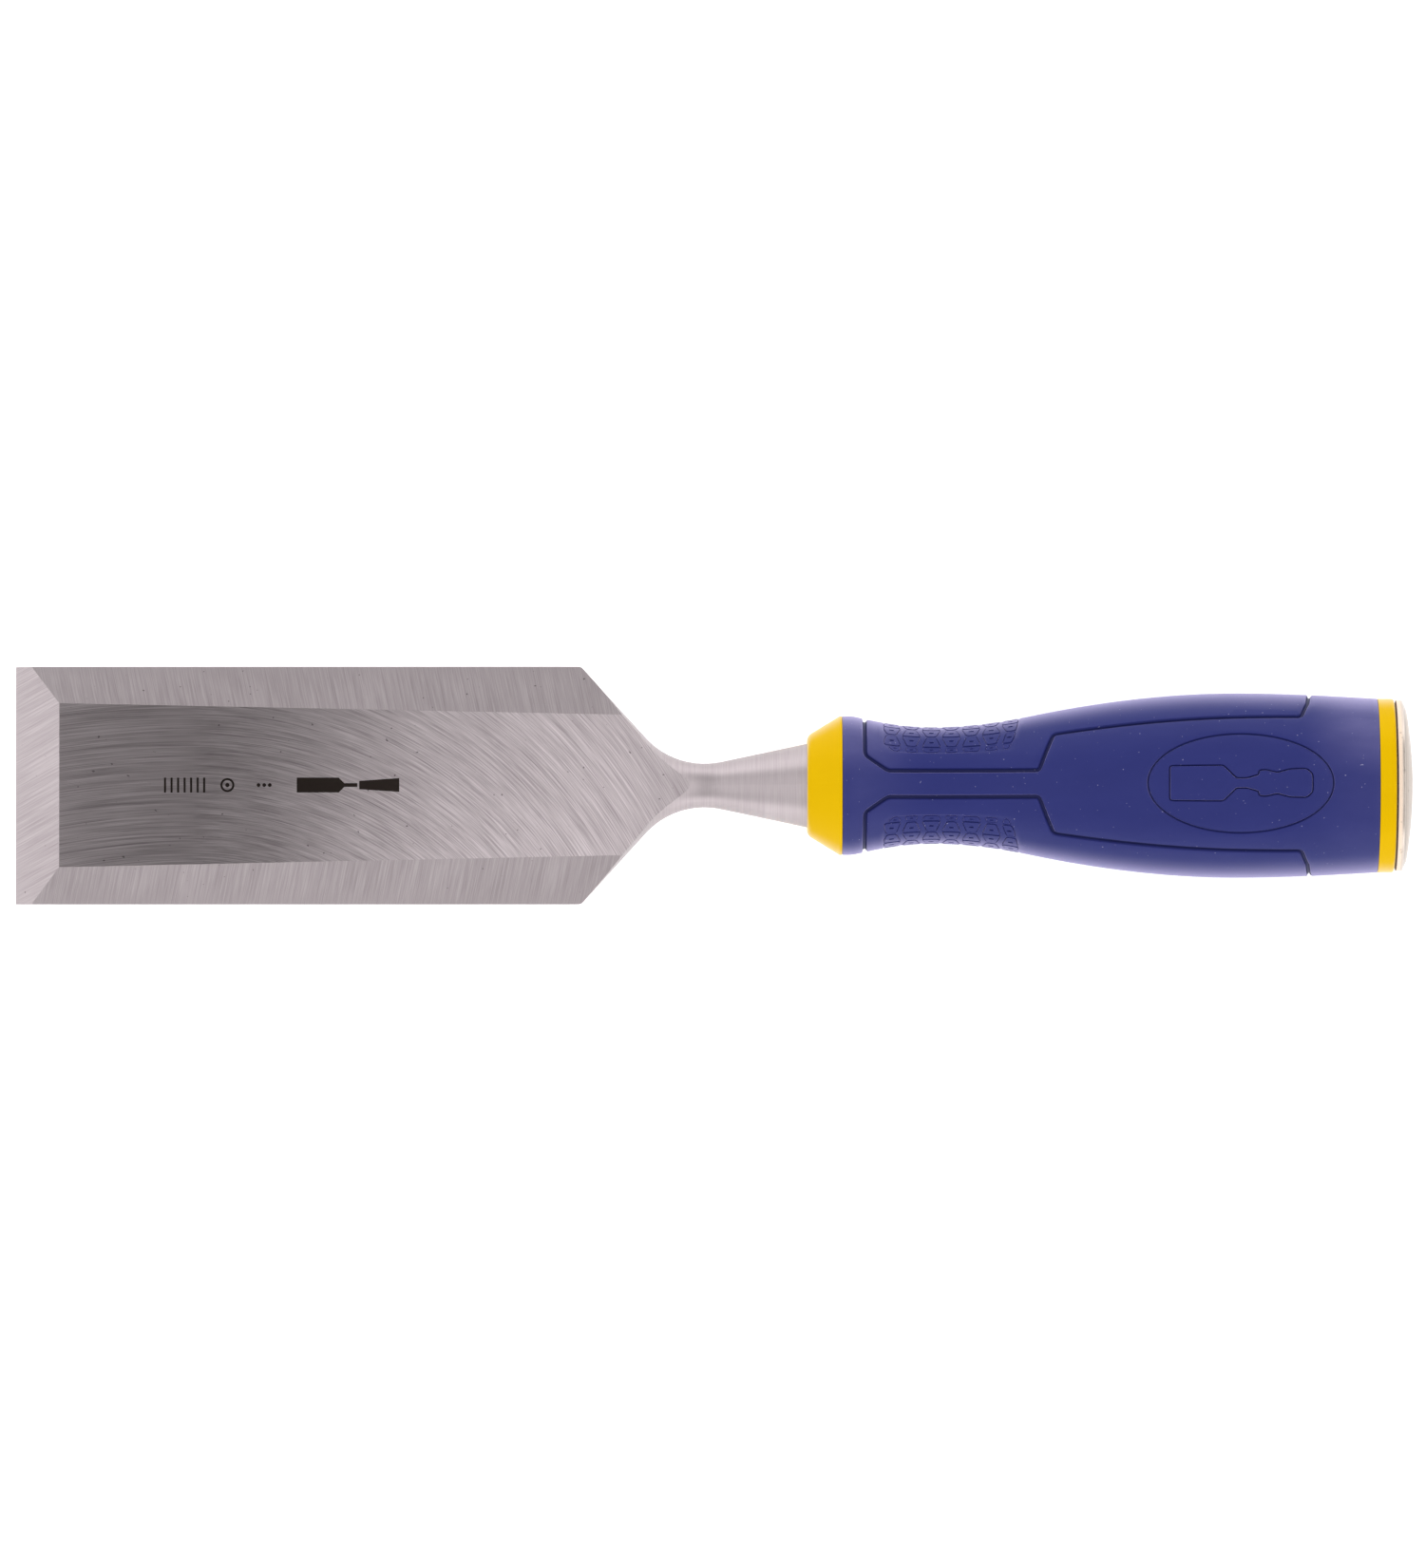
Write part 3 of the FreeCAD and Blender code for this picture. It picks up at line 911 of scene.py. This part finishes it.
def blade_mark(x, y):
    """Etched sign without lettering: a short scale, a ring, three dots and a small chisel."""
    height = y.size()
    step = ((x - SCALE_FRONT) / SCALE_PITCH).math("FRACT")
    ticks = step.under(TICK_SHARE) * height.under(MARK_HALF_HEIGHT)
    scale = between(x, SCALE_FRONT, SCALE_REAR) * ticks

    away = x - RING_X
    radius = (away * away + y * y).math("SQRT")
    ring = between(radius, RING_HOLE, RING_RADIUS) + radius.under(RING_DOT)

    back = x - DOTS_X
    spot = back.math("PINGPONG", DOT_PITCH / 2)
    row_end = DOT_PITCH * (DOT_COUNT - 1) / 2 + DOT_RADIUS
    dots = (spot * spot + y * y).under(DOT_RADIUS ** 2) * back.size().under(row_end)

    along = x - SIGN_X
    blade = between(along, 0.0, SIGN_SHOULDER) * height.under(MARK_HALF_HEIGHT)
    shoulder = between(along, SIGN_SHOULDER, SIGN_NECK)
    shoulder = shoulder * height.under(MARK_HALF_HEIGHT + SIGN_SHOULDER - along)
    neck = between(along, SIGN_NECK, SIGN_NECK_END) * height.under(SIGN_NECK_HALF_HEIGHT)
    handle = between(along, SIGN_HANDLE, SIGN_END)
    handle = handle * height.under(along * SIGN_HANDLE_SLOPE - SIGN_HANDLE_TRIM)
    return (scale + ring + dots + blade + shoulder + neck + handle).math("MINIMUM", 1.0)


def blade_steel():
    """Ground steel: wheel marks whose direction differs from surface to surface."""
    look = Look("blade_steel")
    x, y, z = look.place()
    nx, ny, nz = look.facing()
    regions = blade_regions(x, z, nx, ny, nz)

    # the face's arcs: across is the distance from the middle of the arcs, along runs round them
    ahead = (x - WHEEL_X).math("MINIMUM", 0.0)
    behind = (x - WHEEL_X).math("MAXIMUM", 0.0)
    pull = ahead * ARC_OPENING + behind * (1.0 + behind * behind * ARC_CLOSING)
    sideways = y - WHEEL_Y
    squares = ahead * ahead * ARC_OPENING
    squares = squares + behind * behind * (1.0 + behind * behind * (ARC_CLOSING / 2))
    face_across = (squares + sideways * sideways).math("SQRT")
    face_along = pull.math("ARCTAN2", sideways) * -WHEEL_Y

    side_sign = ny.math("SIGN")
    bevel_across = x * math.cos(BEVEL_SLANT) + y.size() * math.sin(BEVEL_SLANT)
    edge_across = y * math.cos(EDGE_SLANT) - x * math.sin(EDGE_SLANT)
    across = sum_of(regions, {
        "face": face_across, "edge": edge_across, "bevel": bevel_across,
        "back": y, "side": z, "turned": x,
    })
    along = sum_of(regions, {
        "face": face_along, "edge": x, "bevel": y, "back": x, "side": x, "turned": y,
    })
    tangent = look.vector(
        sum_of(regions, {
            "face": pull, "edge": -math.sin(EDGE_SLANT), "bevel": math.cos(BEVEL_SLANT),
            "turned": 1.0,
        }),
        sum_of(regions, {
            "face": sideways, "edge": math.cos(EDGE_SLANT),
            "bevel": side_sign * math.sin(BEVEL_SLANT), "back": 1.0,
        }),
        regions["side"],
    )
    # each surface reads the noise at another place, so that no mark runs on over an edge
    seed = sum_of(regions, {
        "edge": 11.0, "bevel": 23.0 + side_sign * 5, "back": 41.0, "turned": 57.0,
    })

    def marks(bumps, shift, detail, roughness=0.5):
        place = look.vector(across * bumps[0], along * bumps[1], seed + shift)
        return look.noise(place, detail, roughness)

    fine = marks(FINE_MARKS, 0.0, detail=3.0, roughness=0.7)
    broad = marks(BROAD_MARKS, 3.0, detail=2.0)
    score = marks(SCORES, 7.0, detail=1.0).ramp(0.64, 0.72) * regions["face"]
    cloud = look.noise(look.vector(x * CLOUDS_PER_MM, y * CLOUDS_PER_MM, seed), detail=2.0)
    speck = look.grain((x, y, z), SPECKS_PER_MM, detail=0.0).ramp(0.83, 0.88)
    speck = speck * (1.0 - regions["turned"])
    mark = blade_mark(x, y) * regions["face"]

    strength = regions["face"] * 0.6 - regions["turned"] * 0.3 + 0.7
    tone = ((fine - 0.5) * 1.1 + (broad - 0.5) * 0.25) * strength + (cloud - 0.5) * 0.2 + 0.5
    steel = look.blend(tone.ramp(0.1, 0.9), rgb(*DARK_STEEL), rgb(*PALE_STEEL))
    tip = regions["face"] * x.ramp(TIP_SHADE_FROM, TIP_SHADE_TO)
    steel = look.blend(sum_of(regions, SHADES) + tip * TIP_SHADE, steel, rgb(*SHADE_COLOUR))
    steel = look.blend(score * 0.3 + speck * 0.6, steel, rgb(*STAIN_COLOUR))
    colour = look.blend(mark, steel, rgb(*ETCHED_COLOUR))
    rough = 0.42 + (fine - 0.5) * 0.12 + speck * 0.2 + mark * 0.2 + regions["turned"] * 0.05
    return look.finish(
        Base_Color=colour,
        Metallic=1.0,
        Roughness=rough,
        Anisotropic=0.9 - regions["turned"] * 0.62,
        Tangent=tangent,
        Normal=look.bump(fine + broad * 0.6, 0.02, 0.35),
    )


# ---- other materials -----------------------------------------------------------------------

YELLOWS = ((203, 162, 0), (209, 168, 1))
# painted sheen colour for where the plastic is seen edge-on
YELLOW_PAINTED_SHEEN = (226, 212, 170)
PEEL_PER_MM = 1.4
YELLOW_CLOUDS_PER_MM = 0.12


def core_plastic():
    """Hard yellow plastic with a faint orange-peel skin, and painted sheen where it is seen
    edge-on.
    """
    look = Look("core_plastic")
    place = look.place()
    peel = look.grain(place, PEEL_PER_MM)
    colour = look.blend(look.grain(place, YELLOW_CLOUDS_PER_MM), rgb(*YELLOWS[0]), rgb(*YELLOWS[1]))
    # painted sheen: the colour is lightened where the plastic is seen edge-on
    colour = look.blend(look.edge_on().ramp(0.5, 1.0) * 0.6, colour, rgb(*YELLOW_PAINTED_SHEEN))
    return look.finish(
        Base_Color=colour,
        Roughness=0.36 + peel * 0.1,
        Specular_IOR_Level=0.03,
        Normal=look.bump(peel, 0.03, 0.4),
    )


BLUES = ((31, 36, 95), (39, 44, 105))
# painted shade for the skin's sunk places: grooves, the badge's ring and the dents
GROOVE_SHADE = (6, 8, 34)
# painted sheen: pale colour laid on where the rubber is seen edge-on
PAINTED_SHEEN_COLOUR = (168, 160, 204)
DUST_COLOUR = (190, 188, 214)
RUBBER_GRAIN_PER_MM = 5.5
DUST_PER_MM = 2.2
PAINTED_LIGHT_LENGTH = (2.0, 18.0)   # the painted light fades out between these distances from the grip's ends
PAINTED_LIGHT_WIDTH = 12.0           # and grows up to this distance from the middle, on the +Y side
SHALLOW = 0.16              # grooves sunk less than this look like the open skin


def grip_rubber():
    """Soft blue rubber with a fine matt grain; painted shade in the moulded grooves, painted sheen
    where it is seen edge-on and painted light near the ends.
    """
    look = Look("grip_rubber")
    x, y, z = look.place()
    grain = look.grain((x, y, z), RUBBER_GRAIN_PER_MM, roughness=0.6)
    cloud = look.noise(look.vector(x * 0.09, y * 0.2, z * 0.2))
    sink = look.value(look.node("ShaderNodeAttribute", attribute_name="sink").outputs["Fac"])
    skin = look.blend(cloud * 0.6 + grain * 0.4, rgb(*BLUES[0]), rgb(*BLUES[1]))
    from_ends = (x - GRIP_FRONT).math("MINIMUM", GRIP_REAR - x)
    near_end = 1.0 - from_ends.ramp(*PAINTED_LIGHT_LENGTH)
    # painted light: the rubber is lighter near both ends, more so on the +Y side
    painted_light_near_ends = near_end * (y.ramp(0.0, PAINTED_LIGHT_WIDTH) * 0.12 + 0.02) * (cloud + 0.5)
    # painted sheen where the rubber is seen edge-on, plus the painted light near the ends, both
    # kept out of the deep grooves
    painted_sheen_and_light = (look.edge_on().ramp(0.35, 1.0) * 0.68 + painted_light_near_ends) * (1.0 - sink.ramp(SHALLOW, 0.3))
    skin = look.blend(painted_sheen_and_light, skin, rgb(*PAINTED_SHEEN_COLOUR))
    dust = look.grain((x, y, z), DUST_PER_MM, detail=0.0).ramp(0.83, 0.87)
    skin = look.blend(dust * 0.3, skin, rgb(*DUST_COLOUR))
    return look.finish(
        # painted shade: the deeper the skin is sunk, the darker it is painted
        Base_Color=look.blend(sink.ramp(SHALLOW, 0.6) * 0.5, skin, rgb(*GROOVE_SHADE)),
        Roughness=0.44 + grain * 0.12,
        Specular_IOR_Level=0.16,
        Normal=look.bump(grain, 0.03, 0.5),
    )


CAP_SEAM_SHADE = 0.43             # width of the painted shade in the seam between the plastic and the cap
RIM_END = 297.3             # where the cap's rim turns into its dome
RIM_FADE = 0.3              # the two finishes run into each other this far each way
STRUCK_RADIUS = (9.0, 14.0)     # the hammer's dents fade out between these radii

RIM_STEEL = ((176, 158, 145), (218, 200, 186))
# painted light that lightens the rim
RIM_PAINTED_LIGHT = (250, 234, 218)
DOME_STEEL = ((118, 110, 104), (200, 190, 181))
BRUISE_COLOUR = (96, 90, 87)
# brown of the dark pits in the dents, and of the painted shade in the seam
PIT_AND_SEAM_SHADE = (66, 38, 14)

RINGS_PER_MM = 5.0
GROOVES_PER_MM = 2.2
CAP_GRAIN_PER_MM = 2.5
DENTS_PER_MM = 0.9
BRUISES_PER_MM = 0.45
OFF_GRID = (0.37, 3.41)     # noise varies less where two of its coordinates are whole numbers


def cap_steel():
    """Turned cap: a warm satin rim lightened with painted light, and a darker dome with fine rings
    and a hammer's dents; a seam of painted shade at its front.
    """
    look = Look("cap_steel")
    x, y, z = look.place()
    radius = (y * y + (z - AXIS_Z) * (z - AXIS_Z)).math("SQRT")
    turn = y.math("ARCTAN2", z - AXIS_Z)
    rim = 1.0 - x.ramp(RIM_END - RIM_FADE, RIM_END + RIM_FADE)
    dome = 1.0 - rim

    rings = look.vector((radius + x) * RINGS_PER_MM, turn * rim * 0.4, 0.0)
    rings = look.noise(rings, detail=3.0)
    groove = look.vector(radius * GROOVES_PER_MM, *OFF_GRID)
    groove = look.noise(groove, detail=4.0, roughness=0.8)
    grain = look.grain((x, y, z), CAP_GRAIN_PER_MM, detail=3.0, roughness=0.7)
    dent = look.grain((x, y, z), DENTS_PER_MM, detail=1.0).ramp(0.66, 0.8)
    bruise = look.grain((x, y, z), BRUISES_PER_MM).ramp(0.58, 0.74)
    bruise = bruise * (1.0 - radius.ramp(*STRUCK_RADIUS)) * dome

    tone = (rings * 0.5 + grain * 0.5).ramp(0.25, 0.75)
    steel = look.blend(tone, rgb(*RIM_STEEL[0]), rgb(*RIM_STEEL[1]))
    # painted light: the rim is lightened as if lit
    steel = look.blend(rim * 0.6, steel, rgb(*RIM_PAINTED_LIGHT))
    bare = look.blend(groove.ramp(0.3, 0.7), rgb(*DOME_STEEL[0]), rgb(*DOME_STEEL[1]))
    bare = look.blend(bruise * 0.3, bare, rgb(*BRUISE_COLOUR))
    steel = look.blend(dome * 0.8, steel, bare)
    # painted shade in the gap between the plastic and the cap
    seam = x.under(CORE_REAR + CAP_SEAM_SHADE)
    height = rings * 0.4 + grain * 0.4 - dent * 2.0 + groove * dome * 0.8 - bruise * 3.0
    return look.finish(
        Base_Color=look.blend(dent * 0.25 + seam * 0.65, steel, rgb(*PIT_AND_SEAM_SHADE)),
        Metallic=1.0,
        Roughness=0.4 + grain * 0.12 + rim * 0.3 - dome * 0.16,
        Anisotropic=dome * 0.9,
        Tangent=look.vector(rim, y * dome, (z - AXIS_Z) * dome),
        Normal=look.bump(height, 0.03, 0.5),
    )


def paint(obj, material):
    obj.data.materials.clear()
    obj.data.materials.append(material)


# ---- studio --------------------------------------------------------------------------------

VIEW_ELEVATION = math.radians(88.2)
VIEW_DISTANCE = 3500.0
VIEW_X = 149.7
VIEW_Y = 0.35
FRAME_HEIGHT = 336.7        # millimetres of the tool's plane that the frame shows
SENSOR = 36.0
NEAREST_SEEN = 0.1          # metres
FARTHEST_SEEN = 50


def make_camera():
    """Camera almost straight above the middle of the tool."""
    data = bpy.data.cameras.new("camera")
    data.sensor_width = SENSOR
    data.lens = SENSOR * VIEW_DISTANCE / FRAME_HEIGHT
    data.clip_start = NEAREST_SEEN
    data.clip_end = FARTHEST_SEEN
    camera = bpy.data.objects.new("camera", data)
    back = Vector((0, -math.cos(VIEW_ELEVATION), math.sin(VIEW_ELEVATION)))
    camera.location = (Vector((VIEW_X, VIEW_Y, AXIS_Z)) + back * VIEW_DISTANCE) * MM
    camera.rotation_mode = "QUATERNION"
    camera.rotation_quaternion = (-back).to_track_quat("-Z", "Y")
    bpy.context.scene.collection.objects.link(camera)
    bpy.context.scene.camera = camera


FLOOR_REACH = 3.0           # metres from the cutting edge to the floor's edges
FLOOR_GAP = 0.02            # millimetres between the tool and the floor
FLOOR_GREYS = ((238, 238, 238), (244, 244, 244))
FLOOR_GLOW = 0.45
FIBRES_PER_MM = 0.5
CONTACT_STEPS = 60          # places along the grip where contact with the floor is looked for


def floor_slope():
    """Fall of the floor that touches the cutting edge and the belly of the grip."""
    slopes = []
    for step in range(CONTACT_STEPS):
        x = GRIP_FRONT + GRIP_LENGTH * step / CONTACT_STEPS
        slopes.append((half_depth(x) - AXIS_Z) / x)
    return max(slopes)


def make_floor():
    """Pale floor under the resting tool.  It is seen from above only."""
    slope = floor_slope()
    corners = []
    for x, y in ((-1, -1), (1, -1), (1, 1), (-1, 1)):
        depth = -slope * x * FLOOR_REACH - FLOOR_GAP * MM
        corners.append((x * FLOOR_REACH, y * FLOOR_REACH, depth))
    data = bpy.data.meshes.new("floor")
    data.from_pydata(corners, [], [(0, 1, 2, 3)])
    look = Look("floor_paper")
    x, y, _ = look.place()
    fibre = look.noise(look.vector(x * FIBRES_PER_MM, y * FIBRES_PER_MM, 0.0))
    surface = look.finish(
        Base_Color=look.blend(fibre, rgb(*FLOOR_GREYS[0]), rgb(*FLOOR_GREYS[1])),
        Roughness=0.9,
        Emission_Color=(1.0, 1.0, 1.0, 1.0),
        Emission_Strength=FLOOR_GLOW,
    )
    clear = look.node("ShaderNodeBsdfTransparent").outputs[0]
    behind = look.node("ShaderNodeNewGeometry").outputs["Backfacing"]
    either = look.node("ShaderNodeMixShader", {0: behind, 1: look.shader.outputs[0], 2: clear})
    look.tree.links.new(either.outputs[0], look.tree.nodes["Material Output"].inputs["Surface"])
    data.materials.append(surface)
    floor = bpy.data.objects.new("floor", data)
    bpy.context.scene.collection.objects.link(floor)


SOFTBOX_LEVEL = 2.1
GAP_LEVEL = 0.05

# directions as parts of a unit vector: east is +X, north is +Y and up is +Z
GAP_MIDDLE = -0.07
GAP_EDGE = (0.178, 0.248)       # the softboxes' light sets in between these
SOFTBOX_MIDDLE = -0.08          # north of the softboxes' brightest line
SOFTBOX_FALL = (0.25, 0.75)     # their light falls off to the north and south between these
FAR_FALL = (0.45, 0.85)         # and to the east and west between these
HORIZON_TOP = (0.25, 0.6)       # the horizon's light ends between these heights
HORIZON_SIDES = (0.6, 0.95)     # and doubles to the north and south between these


def make_world():
    """Softboxes left and right, a dark gap between them for the camera, and a bright horizon."""
    world = bpy.data.worlds.new("studio")
    world.use_nodes = True
    tree = world.node_tree
    source = tree.nodes.new("ShaderNodeTexCoord").outputs["Generated"]
    axes = tree.nodes.new("ShaderNodeSeparateXYZ")
    tree.links.new(source, axes.inputs[0])
    east, north, up = [Value(tree, socket) for socket in axes.outputs]
    beside_gap = (east - GAP_MIDDLE).size().ramp(*GAP_EDGE)
    fall_off = 1.0 - (north - SOFTBOX_MIDDLE).size().ramp(*SOFTBOX_FALL) * 0.4
    far = 1.0 - east.size().ramp(*FAR_FALL) * 0.35
    horizon = (1.0 - up.ramp(*HORIZON_TOP)) * (north.size().ramp(*HORIZON_SIDES) * 1.2 + 1.2)
    horizon = horizon * (0.85 + beside_gap * 0.15)
    sky = beside_gap * fall_off * far * SOFTBOX_LEVEL + GAP_LEVEL
    background = tree.nodes["Background"].inputs
    plug(tree, background["Strength"], sky.math("MAXIMUM", horizon))
    plug(tree, background["Color"], (1.0, 1.0, 1.0, 1.0))
    bpy.context.scene.world = world


KEY_DIRECTION = (-0.45, 0.85, 0.45)
KEY_DISTANCE = 1.6          # metres
KEY_SIDE = 0.25
KEY_POWER = 1.7             # watts


def make_softbox(name, direction, distance, side, power):
    """Square lamp in a direction from the middle of the tool, turned towards it."""
    data = bpy.data.lights.new(name, "AREA")
    data.size = side
    data.energy = power
    lamp = bpy.data.objects.new(name, data)
    away = Vector(direction).normalized()
    lamp.location = Vector((TOOL_LENGTH / 2, 0, 0)) * MM + away * distance
    lamp.rotation_mode = "QUATERNION"
    lamp.rotation_quaternion = (-away).to_track_quat("-Z", "Y")
    bpy.context.scene.collection.objects.link(lamp)


def make_studio():
    make_camera()
    make_floor()
    make_world()
    make_softbox("key", KEY_DIRECTION, KEY_DISTANCE, KEY_SIDE, KEY_POWER)
    bpy.context.scene.view_settings.view_transform = "Standard"


# ---- the scene -----------------------------------------------------------------------------

paint(nodes["blade"], blade_steel())
paint(nodes["handle_core"], core_plastic())
paint(nodes["strike_cap"], cap_steel())

grip = build_grip()
paint(grip, grip_rubber())
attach(grip, "root")
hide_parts("grip_sleeve")

make_studio()
